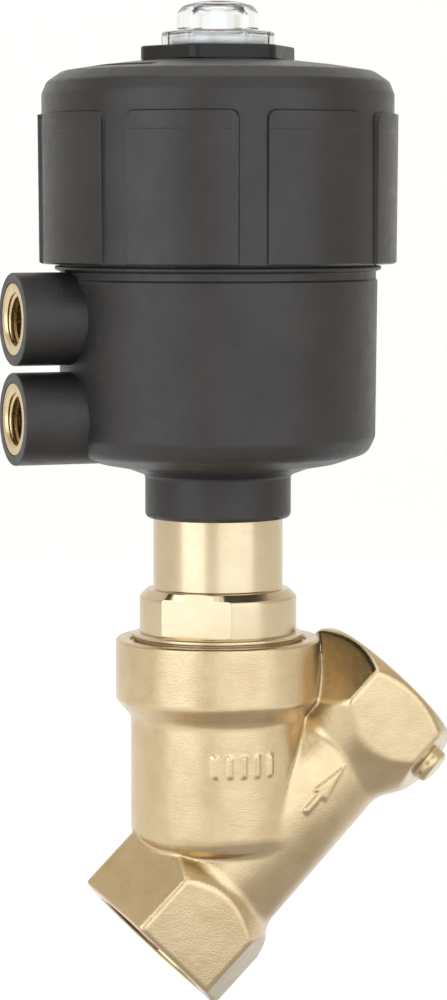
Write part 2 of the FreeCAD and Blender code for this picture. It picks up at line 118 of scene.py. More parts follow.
def along_pipe(points):
    """Points made about Z from the inlet mouth up, moved onto the tilted pipe."""
    x, y, u = np.asarray(points, float).T
    s = u - PIPE_CROSSING
    return np.column_stack((
        x * math.cos(TILT) + s * math.sin(TILT), y, s * math.cos(TILT) - x * math.sin(TILT),
    ))


def facing_left(points, level):
    """Points made about Z, turned so that they open to the left at a height, as the pilot ports do."""
    x, y, z = np.asarray(points, float).T
    c, s = math.cos(PORT_TURN), math.sin(PORT_TURN)
    return np.column_stack((-z * c - y * s, y * c - z * s, x + level))


def new_object(name, points, faces):
    mesh = bpy.data.meshes.new(name)
    mesh.from_pydata(to_metres(points).tolist(), [], faces)
    mesh.validate()
    made = bpy.data.objects.new(name, mesh)
    bpy.context.scene.collection.objects.link(made)
    return made


def round_off(outline, step=15.0):
    """(x, z) points of an outline whose corners are given as (x, z, radius)."""
    made = []
    count = len(outline)
    for i, corner in enumerate(outline):
        at = Vector(corner[:2])
        radius = corner[2] if len(corner) > 2 else 0
        if not radius:
            made.append(tuple(at))
            continue
        back = (Vector(outline[i - 1][:2]) - at).normalized()
        ahead = (Vector(outline[(i + 1) % count][:2]) - at).normalized()
        half = back.angle(ahead) / 2
        centre = at + (back + ahead).normalized() * (radius / math.sin(half))
        start = at + back * (radius / math.tan(half)) - centre
        sweep = math.pi - 2 * half
        turn = 1 if back.x * ahead.y - back.y * ahead.x < 0 else -1
        steps = max(2, math.ceil(math.degrees(sweep) / step))
        for k in range(steps + 1):
            a = turn * sweep * k / steps
            made.append((
                centre.x + start.x * math.cos(a) - start.y * math.sin(a),
                centre.y + start.x * math.sin(a) + start.y * math.cos(a),
            ))
    return made


def turn_points(profile, segments, shape=None):
    """Points and faces of a closed (radius, height) profile turned about Z; segments may list angles."""
    points, rings = [], []
    angles = segments
    if not isinstance(segments, list):
        angles = [2 * math.pi * k / segments for k in range(segments)]
    segments = len(angles)
    for r, z in profile:
        if r < 1e-6:
            rings.append([len(points)] * segments)
            points.append((0, 0, z))
            continue
        rings.append(list(range(len(points), len(points) + segments)))
        for a in angles:
            reach = shape(a, r, z) if shape else r
            points.append((reach * math.cos(a), reach * math.sin(a), z))
    faces = []
    for i, ring in enumerate(rings):
        following = rings[(i + 1) % len(rings)]
        for k in range(segments):
            n = (k + 1) % segments
            loop = [ring[k], ring[n], following[n], following[k]]
            loop = [v for j, v in enumerate(loop) if v != loop[j - 1]]
            if len(loop) > 2:
                faces.append(loop)
    return points, faces


def turned(name, outline, segments=128, place=None, shape=None, step=15.0):
    """A lathe-turned piece; place moves its points from the Z axis."""
    points, faces = turn_points(round_off(outline, step), segments, shape)
    return new_object(name, place(points) if place else points, faces)


def fix_normals(piece):
    mesh = bmesh.new()
    mesh.from_mesh(piece.data)
    bmesh.ops.recalc_face_normals(mesh, faces=mesh.faces)
    mesh.to_mesh(piece.data)
    mesh.free()


def combine(piece, other, operation):
    """Boolean of two closed meshes; the second one is used up."""
    for each in (piece, other):
        fix_normals(each)
    change = piece.modifiers.new("boolean", "BOOLEAN")
    change.operation, change.solver, change.object = operation, "MANIFOLD", other
    graph = bpy.context.evaluated_depsgraph_get()
    result = bpy.data.meshes.new_from_object(piece.evaluated_get(graph))
    piece.modifiers.clear()
    piece.data = result
    bpy.data.objects.remove(other)
    return piece


def cut(piece, other):
    return combine(piece, other, "DIFFERENCE")


def add(piece, other):
    return combine(piece, other, "UNION")


def finish_piece(piece, body, material, slot, *nodes, sharp=32.0, weighted=True):
    """Shading, material, the body empty the piece moves with, and hiding the CAD nodes it stands in for."""
    fix_normals(piece)
    piece.data.shade_smooth()
    piece.data.set_sharp_from_angle(angle=math.radians(sharp))
    if weighted:
        modifier = piece.modifiers.new("weighted_normal", "WEIGHTED_NORMAL")
        modifier.keep_sharp = True
        modifier.weight = 100
    if material:
        piece.data.materials.clear()
        piece.data.materials.append(MATERIALS[material])
    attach(piece, body)
    if nodes:
        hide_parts(*nodes)
    return piece


def thread(name, root, crest, pitch, start, end, place, segments=72):
    """A helical ridge that rises inwards from radius root to radius crest."""
    turns = (end - start) / pitch
    count = int(turns * segments)
    points, faces = [], []
    for k in range(count + 1):
        a = 2 * math.pi * k / segments
        z = start + pitch * k / segments
        fade = min(1.0, 4.0 * min(k, count - k) / segments)
        tip = root - (root - crest) * max(fade, 0.02)
        c, s = math.cos(a), math.sin(a)
        half, flat = 0.42 * pitch, 0.07 * pitch
        for r, dz in ((root + 0.25, -half), (tip, -flat), (tip, flat), (root + 0.25, half)):
            points.append((r * c, r * s, z + dz))
    for k in range(count):
        a, b = 4 * k, 4 * k + 4
        for i in range(4):
            j = (i + 1) % 4
            faces.append([a + i, a + j, b + j, b + i])
    faces.append([0, 1, 2, 3])
    last = 4 * count
    faces.append([last + 3, last + 2, last + 1, last])
    return new_object(name, place(points), faces)


# ---------------------------------------------------------------- materials

class Shader:
    """A Principled material with short calls for the procedural nodes on it."""

    def __init__(self, name, **sockets):
        self.material = bpy.data.materials.new(name)
        self.material.use_nodes = True
        self.nodes = self.material.node_tree.nodes
        self.links = self.material.node_tree.links
        self.bsdf = self.nodes["Principled BSDF"]
        for key, value in sockets.items():
            socket = self.bsdf.inputs[key.replace("_", " ")]
            socket.default_value = (*value, 1.0) if isinstance(value, tuple) else value
        self.place = self.nodes.new("ShaderNodeTexCoord").outputs["Object"]

    def noise(self, scale, detail=3.0, rough=0.55, stretch=None):
        source = self.place
        if stretch:
            mapping = self.nodes.new("ShaderNodeMapping")
            mapping.inputs["Scale"].default_value = stretch
            self.links.new(self.place, mapping.inputs["Vector"])
            source = mapping.outputs["Vector"]
        made = self.nodes.new("ShaderNodeTexNoise")
        made.inputs["Scale"].default_value = scale
        made.inputs["Detail"].default_value = detail
        made.inputs["Roughness"].default_value = rough
        self.links.new(source, made.inputs["Vector"])
        return made.outputs["Fac"]

    def spread(self, value, low, high, start=0.3, end=0.7):
        """Maps a 0 to 1 pattern onto low to high."""
        made = self.nodes.new("ShaderNodeMapRange")
        made.inputs["From Min"].default_value = start
        made.inputs["From Max"].default_value = end
        made.inputs["To Min"].default_value = low
        made.inputs["To Max"].default_value = high
        self.links.new(value, made.inputs["Value"])
        return made.outputs["Result"]

    def tint(self, value, dark, light, start=0.35, end=0.65):
        ramp = self.nodes.new("ShaderNodeValToRGB")
        ramp.color_ramp.elements[0].position = start
        ramp.color_ramp.elements[0].color = (*dark, 1)
        ramp.color_ramp.elements[1].position = end
        ramp.color_ramp.elements[1].color = (*light, 1)
        self.links.new(value, ramp.inputs["Fac"])
        self.links.new(ramp.outputs["Color"], self.bsdf.inputs["Base Color"])

    def rough(self, value, low, high):
        self.links.new(self.spread(value, low, high), self.bsdf.inputs["Roughness"])

    def bump(self, *layers):
        """Stacks (pattern, depth in millimetres) layers of fine relief."""
        normal = None
        for value, depth in layers:
            made = self.nodes.new("ShaderNodeBump")
            made.inputs["Strength"].default_value = 1.0
            made.inputs["Distance"].default_value = depth * MM
            self.links.new(value, made.inputs["Height"])
            if normal:
                self.links.new(normal, made.inputs["Normal"])
            normal = made.outputs["Normal"]
        self.links.new(normal, self.bsdf.inputs["Normal"])


def cast_brass():
    """Blasted casting skin: fine grain, soft unevenness, a few pores."""
    shader = Shader("cast_brass", Metallic=1.0)
    shader.tint(shader.noise(120, 4), (0.52, 0.39, 0.225), (0.58, 0.45, 0.27))
    shader.rough(shader.noise(700, 3), 0.17, 0.25)
    shader.bump((shader.noise(260, 2), 0.07), (shader.noise(2600, 2, 0.6), 0.06))
    return shader.material


def machined_brass():
    """Turned faces and bores, with fine tool marks."""
    shader = Shader("machined_brass", Metallic=1.0)
    shader.tint(shader.noise(90, 2), (0.58, 0.44, 0.23), (0.66, 0.51, 0.29))
    shader.rough(shader.noise(900, 2), 0.20, 0.30)
    shader.bump((shader.noise(1800, 2), 0.010))
    return shader.material


def polished_brass():
    """Smooth turned tube with faint tool lines running round it."""
    shader = Shader("polished_brass", Metallic=1.0)
    shader.tint(shader.noise(60, 2), (0.54, 0.43, 0.27), (0.59, 0.48, 0.315))
    shader.rough(shader.noise(400, 2), 0.20, 0.27)
    shader.bump((shader.noise(1.0, 2, stretch=(40, 40, 6000)), 0.004))
    return shader.material


def black_plastic(name, grain, depth, low, high, gloss=0.45):
    """Glass-filled black polyamide with the mould's fine spark-eroded skin."""
    shader = Shader(name, Specular_IOR_Level=gloss, Specular_Tint=(1.0, 0.93, 0.87))
    shader.tint(shader.noise(70, 3), (0.010, 0.0092, 0.0086), (0.016, 0.0147, 0.0138))
    shader.rough(shader.noise(350, 3), low, high)
    shader.bump((shader.noise(grain, 2, 0.6), depth), (shader.noise(60, 2), 0.06))
    return shader.material


def clear_plastic():
    """Clear polycarbonate, slightly uneven from moulding."""
    shader = Shader("clear_plastic", Base_Color=(0.97, 0.98, 0.98), IOR=1.5, Transmission_Weight=1.0)
    shader.rough(shader.noise(300, 2), 0.10, 0.18)
    shader.bump((shader.noise(180, 2), 0.02))
    return shader.material


def steel(name, low, high, colour=(0.58, 0.58, 0.59)):
    shader = Shader(name, Metallic=1.0)
    shader.tint(shader.noise(150, 3), tuple(c * 0.88 for c in colour), colour)
    shader.rough(shader.noise(600, 2), low, high)
    shader.bump((shader.noise(1.0, 2, stretch=(60, 60, 5000)), 0.006))
    return shader.material


def plain(name, dark, light, low, high, depth=0.02, **sockets):
    """Rubber, PTFE and other inner materials: mottled colour, uneven gloss, fine grain."""
    shader = Shader(name, **sockets)
    shader.tint(shader.noise(200, 3), dark, light)
    shader.rough(shader.noise(500, 2), low, high)
    shader.bump((shader.noise(1200, 2), depth))
    return shader.material


MATERIALS = {
    "cast_brass": cast_brass(),
    "polished_brass": polished_brass(),
    "insert_brass": machined_brass(),
    "bronze": plain("bronze", (0.42, 0.25, 0.11), (0.55, 0.34, 0.16), 0.35, 0.5, Metallic=1.0),
    "steel": steel("steel", 0.18, 0.30),
    "spring_steel": steel("spring_steel", 0.25, 0.38, (0.36, 0.37, 0.39)),
    "graphite": plain("graphite", (0.02, 0.02, 0.022), (0.05, 0.05, 0.055), 0.4, 0.6, Metallic=0.3),
    "rubber": plain("rubber", (0.010, 0.010, 0.010), (0.018, 0.018, 0.018), 0.5, 0.7),
    "silicone": plain("silicone", (0.80, 0.80, 0.78), (0.88, 0.88, 0.86), 0.25, 0.4, 0.01,
                      Subsurface_Weight=0.3, Subsurface_Scale=0.002),
    "ptfe": plain("ptfe", (0.80, 0.80, 0.78), (0.88, 0.88, 0.86), 0.35, 0.5, 0.01),
    "black_housing_plastic": black_plastic("black_housing_plastic", 1500, 0.075, 0.36, 0.46),
    "black_cover_plastic": black_plastic("black_cover_plastic", 1700, 0.035, 0.32, 0.42),
    "black_bushing_plastic": black_plastic("black_bushing_plastic", 1500, 0.012, 0.26, 0.34, 0.25),
    "piston_plastic": plain("piston_plastic", (0.03, 0.03, 0.03), (0.045, 0.045, 0.045), 0.4, 0.5),
    "indicator_plastic": plain("indicator_plastic", (0.62, 0.05, 0.03), (0.72, 0.07, 0.04),
                               0.25, 0.35, 0.01),
    "clear_plastic": clear_plastic(),
}


# ---------------------------------------------------------------- valve casting

BARREL_RADIUS, FLANGE_RADIUS, FLANGE_TOP = 21.85, 25.5, 59.0
HALF_FLATS, HEX_CORNER = 20.5, 23.4
G1_ROOT, G1_CREST, G1_DEPTH, G1_PITCH = 16.55, 15.15, 17.0, 2.309
FLOW_RADIUS, SEAT_TOP = 12.5, 15.5


def smooth_min(a, b, k):
    h = np.maximum(k - np.abs(a - b), 0) / k
    return np.minimum(a, b) - h * h * k / 4


def smooth_max(a, b, k):
    return -smooth_min(-a, -b, k)


def polygon_field(x, y, corners):
    """Signed distance to a closed polygon, negative inside."""
    distance = np.full(np.broadcast(x, y).shape, 1e9)
    inside = np.zeros(distance.shape, bool)
    for i, (bx, by) in enumerate(corners):
        ax, ay = corners[i - 1]
        ex, ey = bx - ax, by - ay
        t = np.clip(((x - ax) * ex + (y - ay) * ey) / (ex * ex + ey * ey), 0, 1)
        distance = np.minimum(distance, np.hypot(x - ax - t * ex, y - ay - t * ey))
        if ey:
            inside ^= ((ay > y) != (by > y)) & (x < ax + (y - ay) / ey * ex)
    return np.where(inside, -distance, distance)


def turned_field(outline, reach_out, low, high, step=0.1):
    """Distance to a turned solid as a function of (radius, height), looked up in a fine table."""
    corners = round_off(outline)
    radii = np.arange(0, reach_out, step)
    heights = np.arange(low, high, step)
    table = polygon_field(radii[:, None], heights[None, :], corners)

    def field(r, z):
        i = np.clip(r / step, 0, len(radii) - 1.001)
        j = np.clip((z - low) / step, 0, len(heights) - 1.001)
        i, j = np.broadcast_arrays(i, j)
        a, b = i.astype(int), j.astype(int)
        p, q = i - a, j - b
        near = table[a, b] * (1 - q) + table[a, b + 1] * q
        far = table[a + 1, b] * (1 - q) + table[a + 1, b + 1] * q
        return near * (1 - p) + far * p

    return field


def hexagon_field(x, y, half, corner):
    """Distance to a hexagonal prism's sides, its corners round, two flats facing +Y and -Y."""
    c, s = math.cos(math.radians(30)), math.sin(math.radians(30))
    across, up = np.broadcast_arrays(np.abs(x), np.abs(y))
    fold = 2 * np.minimum(s * up - c * across, 0)
    across, up = across + c * fold, up - s * fold
    inner = half - corner
    edge = inner * math.tan(math.radians(30))
    across, up = across - np.clip(across, -edge, edge), up - inner
    return np.hypot(across, up) * np.sign(up) - corner


def cone_field(rho, u, first, second):
    """Distance to the cone through two (radius, height) points, positive to the right of the way up."""
    (r1, u1), (r2, u2) = first, second
    return ((rho - r1) * (u2 - u1) - (u - u1) * (r2 - r1)) / math.hypot(r2 - r1, u2 - u1)


def pipe_field(side, y, u):
    """The pipe between its hexagons, fullest beside the valve's seat and drawn in towards the outlet."""
    along = np.clip(u, 18, 74)
    radius = 19.3 - 0.0028 * (along - 38) ** 2
    lower_side = 18.0 - 0.026 * (along - 24)
    return np.hypot(side + radius - lower_side, y) - radius


barrel_field = turned_field([
    (0, 6.4), (BARREL_RADIUS, 6.4, 5), (BARREL_RADIUS, 39.6, 3), (FLANGE_RADIUS, 43.9, 1.5),
    (FLANGE_RADIUS, 61), (0, 61),
], 80, -40, 70)


def relief_step(edge, rise):
    """Raised relief with soft cast edges."""
    t = np.clip(0.5 - edge / 0.8, 0, 1)
    return rise * t * t * (3 - 2 * t)


def casting_marks(x, side, z, u):
    """Flow arrow on the pipe and a blank foundry tally on the barrel."""
    tail, tip, middle, head, head_half, tail_half = 48.9, 64.1, -0.3, 9.6, 2.2, 0.8
    arrow = [
        (middle - tail_half, tail), (middle + tail_half, tail), (middle + tail_half, tip - head),
        (middle + head_half, tip - head), (middle, tip), (middle - head_half, tip - head),
        (middle - tail_half, tip - head),
    ]
    relief = relief_step(polygon_field(side, u, arrow), 0.7)
    for k in range(5):
        left = (k - 2) * 3.6 - 0.6
        bar = [(left, 27.0), (left + 1.2, 27.0), (left + 1.2, 32.2), (left, 32.2)]
        relief = np.maximum(relief, relief_step(polygon_field(x, z, bar), 0.5))
    return relief


def casting_field(x, y, z, marks=True):
    """Signed distance, roughly, to the casting's outer skin."""
    s, side = (x + z) * math.sqrt(0.5), (x - z) * math.sqrt(0.5)
    u, rho = s + PIPE_CROSSING, np.hypot(side, y)
    barrel = barrel_field(np.hypot(x, y), z)
    pipe = np.maximum(pipe_field(side, y, u), np.maximum(3 - u, u - 87))
    hexagon = hexagon_field(side, y, HALF_FLATS, 1.7)
    inlet = smooth_max(hexagon, cone_field(rho, u, (HEX_CORNER, 16.8), (HALF_FLATS, 20.4)), 0.7)
    inlet = smooth_max(inlet, -u, 1.0)
    outlet = smooth_max(hexagon, cone_field(rho, u, (HALF_FLATS, 71.0), (HEX_CORNER, 75.6)), 0.7)
    outlet = smooth_max(outlet, cone_field(rho, u, (HEX_CORNER, 86.6), (HALF_FLATS - 1, PIPE_LENGTH)), 1.0)
    outlet = smooth_max(outlet, u - PIPE_LENGTH, 1.0)
    pipe = smooth_min(smooth_min(pipe, inlet, 1.3), outlet, 1.3)
    body = smooth_min(barrel, pipe, 1.1)
    lean = math.radians(60)
    outward = side * math.sin(lean) - y * math.cos(lean)
    across = np.hypot(side * math.cos(lean) + y * math.sin(lean), u - 80.5) - 4.65
    pad = smooth_max(across, np.maximum(outward - 23.5, 12 - outward), 1.6)
    body = smooth_min(body, pad, 0.7)
    if marks:
        body = body - np.where(y < 0, casting_marks(x, side, z, u), 0)
    return body


def settle(points, field, rounds=3, h=0.04):
    """Moves points along the field's slope onto its zero surface."""
    p = np.array(points, float)
    for _ in range(rounds):
        x, y, z = p.T
        slope = np.column_stack((
            field(x + h, y, z) - field(x - h, y, z),
            field(x, y + h, z) - field(x, y - h, z),
            field(x, y, z + h) - field(x, y, z - h),
        )) / (2 * h)
        square = np.maximum((slope ** 2).sum(1), 0.25)
        step = field(x, y, z) / square
        p -= slope * np.clip(step, -0.4, 0.4)[:, None]
    return p


def skin_of(name, field, low, high, voxel):
    """Closed mesh of a distance field's zero surface."""
    axes = [np.arange(a, b, voxel) for a, b in zip(low, high)]
    values = field(*np.meshgrid(*axes, indexing="ij", sparse=True))
    grid = openvdb.FloatGrid(3.0)
    grid.copyFromArray(np.clip(values, -3, 3).astype(np.float32))
    points, quads = grid.convertToQuads(0.0)
    points = settle(points.astype(float) * voxel + np.array(low), field)
    return new_object(name, points, quads[:, ::-1].tolist())


def pipe_end_cutter(name, mouth, inward):
    """Bore with its thread's root, entry cone and flow passage; mouth and direction are along the pipe."""
    deep = {"in": PIPE_CROSSING, "out": PIPE_LENGTH - PIPE_CROSSING - 22.5}[name]
    profile = [
        (0, -2), (G1_ROOT + 2.5, -2), (G1_ROOT + 0.35, 0.15), (G1_ROOT, 0.6), (G1_ROOT, G1_DEPTH - 1),
        (FLOW_RADIUS, G1_DEPTH + 2), (FLOW_RADIUS, deep), (0, deep),
    ]
    outline = [(r, mouth + inward * d) for r, d in profile]
    return turned("cutter", outline, 160, along_pipe)


def valve_casting():
    body = skin_of("brass_casting", casting_field, (-37, -27.5, -37), (66, 27.5, 64), 0.5)
    body.data.materials.append(MATERIALS["cast_brass"])
    top = [
        (0, 0), (FLOW_RADIUS, 0), (FLOW_RADIUS, SEAT_TOP), (15, SEAT_TOP), (15, 13), (17.5, 13), (17.5, 45),
        (21, 45), (21, 58), (21.9, 58), (21.9, FLANGE_TOP - 0.4), (22.3, FLANGE_TOP),
        (FLANGE_RADIUS - 0.5, FLANGE_TOP), (FLANGE_RADIUS + 0.7, FLANGE_TOP - 1.2),
        (FLANGE_RADIUS + 0.7, 66), (0, 66),
    ]
    cutters = [
        turned("cutter", top, 192),
        pipe_end_cutter("in", 0, 1),
        pipe_end_cutter("out", PIPE_LENGTH, -1),
        turned("cutter", [(FLOW_RADIUS * math.cos(a), FLOW_RADIUS * math.sin(a))
                          for a in np.linspace(-math.pi / 2, math.pi / 2, 33)], 64),
    ]
    for cutter in cutters:
        cutter.data.materials.append(MATERIALS["insert_brass"])
        cut(body, cutter)
    for start, end in ((-0.6, G1_DEPTH - 2.5), (PIPE_LENGTH - G1_DEPTH + 2.5, PIPE_LENGTH + 0.6)):
        ridge = thread("ridge", G1_ROOT, G1_CREST, G1_PITCH, start, end, along_pipe)
        ridge.data.materials.append(MATERIALS["insert_brass"])
        last = PIPE_LENGTH - 0.25
        trim = turned("trim", [(0, 0.25), (20, 0.25), (20, last), (0, last)], 64, along_pipe)
        add(body, combine(ridge, trim, "INTERSECT"))
    return finish_piece(body, "valve_body", None, "cast_brass", "valve_casting", sharp=50, weighted=False)


# ---------------------------------------------------------------- bonnet

COLLAR_RADIUS, COLLAR_HALF_FLATS, COLLAR_FLAT_ANGLE = 19.55, 17.35, -34.5
TUBE_RADIUS = 16.1


def ring_angles(segments, marks=(), spread=0.02):
    """Even angles round a ring, with close pairs of lines added at the given angles."""
    even = [2 * math.pi * k / segments for k in range(segments)]
    extra = [(m + d) % (2 * math.pi) for m in marks for d in (-spread, -spread / 4, spread / 4, spread)]

    def apart(a, b):
        return abs((a - b + math.pi) % (2 * math.pi) - math.pi)

    kept = [a for a in even if all(apart(a, e) > spread / 2 for e in extra)]
    return sorted(kept + extra)


def bonnet():
    """Turned and polished bonnet with two wrench flats milled into its collar."""
    half_sweep = math.acos(COLLAR_HALF_FLATS / COLLAR_RADIUS)
    facing = [math.radians(COLLAR_FLAT_ANGLE - 90 + side) for side in (0, 180)]
    edges = [f + d for f in facing for d in (-half_sweep, half_sweep)]

    def flats(angle, r, z):
        if z < 60.9 or z > 72.25 or r < COLLAR_HALF_FLATS:
            return r
        for f in facing:
            lean = math.cos(angle - f)
            if lean > 0:
                r = min(r, COLLAR_HALF_FLATS / lean)
        return r

    outline = [
        (5.05, 46), (20.9, 46, 0.8), (20.9, 59.3), (21.2, 59.5, 0.2), (21.2, 60.2, 0.25), (20.6, 60.5, 0.2),
        (19.5, 60.6), (COLLAR_RADIUS, 60.8), (COLLAR_RADIUS, 60.91), (COLLAR_RADIUS, 65), (COLLAR_RADIUS, 68),
        (COLLAR_RADIUS, 69.6, 1.0), (17.6, 71.4, 0.6), (16.4, 71.6), (TUBE_RADIUS, 71.8, 0.15),
        (TUBE_RADIUS, 94, 0.6), (13, 94), (13, 97.5), (11.2, 97.5), (11.2, 99.9),
        (13, 99.9), (13, 112, 0.8), (9.5, 112), (9.5, 51), (5.05, 51),
    ]
    piece = turned("polished_bonnet", outline, ring_angles(192, edges), shape=flats)
    return finish_piece(piece, "valve_body", "polished_brass", "polished_brass", "bonnet", sharp=22)


# ---------------------------------------------------------------- actuator housing

PORTS = {"upper_port_insert": 138.8, "lower_port_insert": 114.6}
PORT_FACE, BOSS_RADIUS, INSERT_RADIUS, PORT_BORE = 53.2, 11.3, 8.85, 5.73
CYLINDER_RADIUS, NECK_RADIUS, NECK_BOTTOM = 35.6, 18.1, 89.1
HOUSING_OUTLINE = [
    (TUBE_RADIUS + 0.1, NECK_BOTTOM), (NECK_RADIUS, NECK_BOTTOM, 1.3), (NECK_RADIUS, 99.8, 1.2),
    (23, 101.6, 3), (30, 102.9, 6), (37.2, 105.4, 4), (39.0, 109.3, 3),
    (39.4, 147.9, 0.4), (39.0, 148.4, 0.4), (39.0, 150.1, 0.3), (40.3, 150.6, 0.3), (40.3, 151.5, 0.3),
    (38.6, 151.5), (38.6, 161.6), (36.9, 161.6), (36.9, 164.4), (38.6, 164.4), (38.6, 168, 0.6),
    (CYLINDER_RADIUS, 168, 0.6), (CYLINDER_RADIUS, 106, 2), (13.1, 106), (13.1, 94.3),
    (TUBE_RADIUS + 0.1, 94.3),
]


def wall_radius(z):
    """Outer radius of the housing at a height, along its rounded foot and its wall."""
    wall = [(r, level) for r, level in round_off(HOUSING_OUTLINE)
            if r > NECK_RADIUS + 1 and NECK_BOTTOM + 12 < level < 148]
    return float(np.interp(z, [p[1] for p in wall], [p[0] for p in wall]))


def port_boss(level, segments=96):
    """Round boss with a soft fillet where it meets the housing's wall."""
    edge = 0.35
    stations = [(BOSS_RADIUS - edge + edge * math.sin(t), edge * math.cos(t) - edge)
                for t in np.linspace(0, math.pi / 2, 6)]
    points, faces, rings = [], [], []
    for k in range(segments):
        a = 2 * math.pi * k / segments
        up, out = math.cos(a), math.sin(a)
        fillet = min(1.0, max(0.03, (level + BOSS_RADIUS * up - 104) * 0.25))
        column = [(r * up, r * out, PORT_FACE + d) for r, d in stations]
        for t in np.linspace(0, math.pi / 2, 7):
            r = BOSS_RADIUS + fillet * (1 - math.cos(t))
            radius = wall_radius(level + r * up)
            wall = math.sqrt(max(radius ** 2 - (r * out) ** 2, 400))
            column.append((r * up, r * out, wall + fillet * (1 - math.sin(t))))
        column.append((column[-1][0], column[-1][1], column[-1][2] - 1.5))
        rings.append(column)
    size = len(rings[0])
    for column in rings:
        points += column
    for k in range(segments):
        a, b = k * size, (k + 1) % segments * size
        for i in range(size - 1):
            faces.append([a + i, b + i, b + i + 1, a + i + 1])
    faces.append([k * size for k in range(segments)])
    points.append((0, 0, CYLINDER_RADIUS + 0.8))
    for k in range(segments):
        faces.append([k * size + size - 1, (k + 1) % segments * size + size - 1, len(points) - 1])
    return new_object("boss", facing_left(points, level), faces)


def actuator_housing():
    body = turned("housing_shell", HOUSING_OUTLINE, 256)
    for level in PORTS.values():
        add(body, port_boss(level))
    for level in PORTS.values():
        floor = PORT_FACE - 12
        bore = [(0, 29), (2.5, 29), (2.5, floor - 1), (PORT_BORE, floor), (INSERT_RADIUS + 0.02, floor),
                (INSERT_RADIUS + 0.02, PORT_FACE + 1), (0, PORT_FACE + 1)]
        cut(body, turned("bore", bore, 96, lambda p, level=level: facing_left(p, level)))
    half_width, depth = 5.0, 1.1
    radius = (half_width ** 2 + depth ** 2) / (2 * depth)
    for k in range(6):
        cut(body, notch_cutter(radius, depth, math.radians(60 * k)))
    return finish_piece(body, "actuator", "black_housing_plastic", "black_housing_plastic",
                        "actuator_housing", sharp=34)


def notch_cutter(radius, depth, angle):
    """Cylinder lying along a radius of the neck, whose top just bites into the neck's lower edge."""
    points, faces = turn_points([(0, 0), (radius, 0), (radius, 8), (0, 8)], 128)
    x, y, z = np.array(points).T
    out, across, up = z + NECK_RADIUS - 1.0, x, y + NECK_BOTTOM + depth - radius
    c, s = math.cos(angle), math.sin(angle)
    return new_object("notch", np.column_stack((out * c - across * s, out * s + across * c, up)), faces)


def port_insert(node, level):
    """Knurled brass insert, countersunk and tapped G1/4."""
    root, crest, pitch, depth = 6.35, PORT_BORE, 1.337, 11.9
    teeth = 72

    def knurl(angle, r, z):
        if r < INSERT_RADIUS - 0.1:
            return r
        return r - 0.12 * abs((angle * teeth / (2 * math.pi)) % 1 - 0.5) * 2

    outline = [
        (root, 0), (INSERT_RADIUS, 0, 0.3), (INSERT_RADIUS, depth - 0.15), (INSERT_RADIUS - 0.16, depth),
        (root + 0.6, depth, 0.1), (root, depth - 0.6),
    ]

    def place(points):
        return facing_left(np.asarray(points, float) + (0, 0, PORT_FACE - 12), level)

    body = turned(node.replace("insert", "brass_insert"), outline, 4 * teeth, place, shape=knurl)
    add(body, thread("ridge", root, crest, pitch, 0.8, depth - 1.2, place, 48))
    return finish_piece(body, "actuator", "insert_brass", "insert_brass", node, sharp=28)


# ---------------------------------------------------------------- actuator cover

COVER_RADIUS, COVER_BOTTOM, PANEL_TOP = 43.4, 152.0, 188.7
PANEL_COUNT, PANEL_GAP, PANEL_GAP_ANGLE = 8, 6.5, -6.0


def panel_rise(angle, z):
    """How far the grip panels stand off the cover at one angle and height."""
    pitch = 2 * math.pi / PANEL_COUNT
    first = math.radians(PANEL_GAP_ANGLE - 90)
    from_gap = (angle - first + pitch / 2) % pitch - pitch / 2
    inside = abs(from_gap) * COVER_RADIUS - PANEL_GAP / 2
    below = PANEL_TOP - z
    radius = 2.2
    if inside < radius and below < radius:
        depth = radius - math.hypot(radius - inside, radius - below)
    else:
        depth = min(inside, below)
    t = min(max(depth / 0.34, 0), 1)
    lip = min(1, (z - COVER_BOTTOM) / 0.5)
    rise = 0.7 + 0.3 * (z - COVER_BOTTOM) / (PANEL_TOP - COVER_BOTTOM)
    seam = 0.06 * max(0, 1 - abs(z - PANEL_TOP + 4.6) / 0.12)
    return (rise - 0.35 * (1 - lip)) * t * t * (3 - 2 * t) - seam * t


def cover_angles():
    pitch = 2 * math.pi / PANEL_COUNT
    first = math.radians(PANEL_GAP_ANGLE - 90)
    edge = PANEL_GAP / 2
    offsets = [0, edge * 0.5, edge - 0.25, edge]
    offsets += [edge + d for d in (0.07, 0.14, 0.21, 0.28, 0.35, 0.6, 0.9, 1.3, 1.75, 2.2, 3.2)]
    offsets += list(np.linspace(edge + 4.6, COVER_RADIUS * pitch / 2, 8))
    angles = set()
    for k in range(PANEL_COUNT):
        for d in offsets:
            for sign in (-1, 1):
                angles.add(round((first + k * pitch + sign * d / COVER_RADIUS) % (2 * math.pi), 7))
    return sorted(angles)


